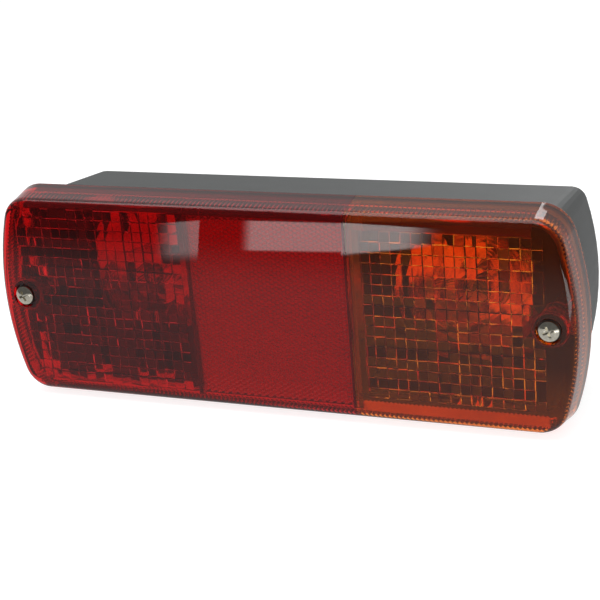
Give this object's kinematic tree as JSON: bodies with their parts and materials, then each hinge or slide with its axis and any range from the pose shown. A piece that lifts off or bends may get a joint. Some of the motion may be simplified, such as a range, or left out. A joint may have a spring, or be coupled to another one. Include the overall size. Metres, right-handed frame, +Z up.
{
  "type": "tail light cluster",
  "caption": "Long rear lamp with bowed ends: dark tapered housing, red lens with reflex field, amber indicator lens, bulbs in sockets and a flat back for two bolts.",
  "frame": {"origin": "middle of the flat mounting face at the back of the housing", "axes": "+X along the lamp towards the amber end, +Y out of the mounting face towards the vehicle, +Z up; the lens faces -Y"},
  "size_m": [0.24, 0.0682, 0.0862],
  "materials": {
    "housing_plastic": "satin, fine moulded grain, dark grey",
    "lens_red": "clear tinted acrylic, polished outside, optic squares inside",
    "lens_amber": "clear tinted acrylic, polished outside, optic squares inside",
    "plate_plastic": "pale moulded plate behind the reflex field",
    "seal_rubber": "matt black rubber",
    "bright_metal": "pressed sheet with a bright mirror finish",
    "bulb_glass": "clear glass",
    "brass": "dull brass",
    "filament_metal": "glass stem with bare wire",
    "plated_steel": "zinc plated, slightly dull",
    "insulating_board": "brown laminated board",
    "spring_steel": "bare spring wire",
    "block_plastic": "natural nylon",
    "screw_steel": "bright nickel plated, worn in the cross recess"
  },
  "bodies": {
    "root": {"housing": "housing_plastic", "lens_red": "lens_red", "lens_amber": "lens_amber", "reflex_backplate": "plate_plastic", "lens_gasket": "seal_rubber", "reflector_tail": "bright_metal", "reflector_indicator": "bright_metal", "bulb_glass_tail": "bulb_glass", "bulb_cap_tail": "brass", "bulb_filament_tail": "filament_metal", "bulb_glass_indicator": "bulb_glass", "bulb_cap_indicator": "brass", "bulb_filament_indicator": "filament_metal", "socket_tail": "plated_steel", "socket_indicator": "plated_steel", "socket_disc_tail": "insulating_board", "socket_disc_indicator": "insulating_board", "socket_contacts_tail": "brass", "socket_contacts_indicator": "brass", "socket_spring_tail": "spring_steel", "socket_spring_indicator": "spring_steel", "earth_strip": "brass", "socket_rivets": "plated_steel", "terminal_block": "block_plastic", "terminal_inserts": "brass", "terminal_screws": "plated_steel", "cable_grommet": "seal_rubber", "lens_screws": "screw_steel", "screw_seals": "seal_rubber"}
  },
  "joints": []
}
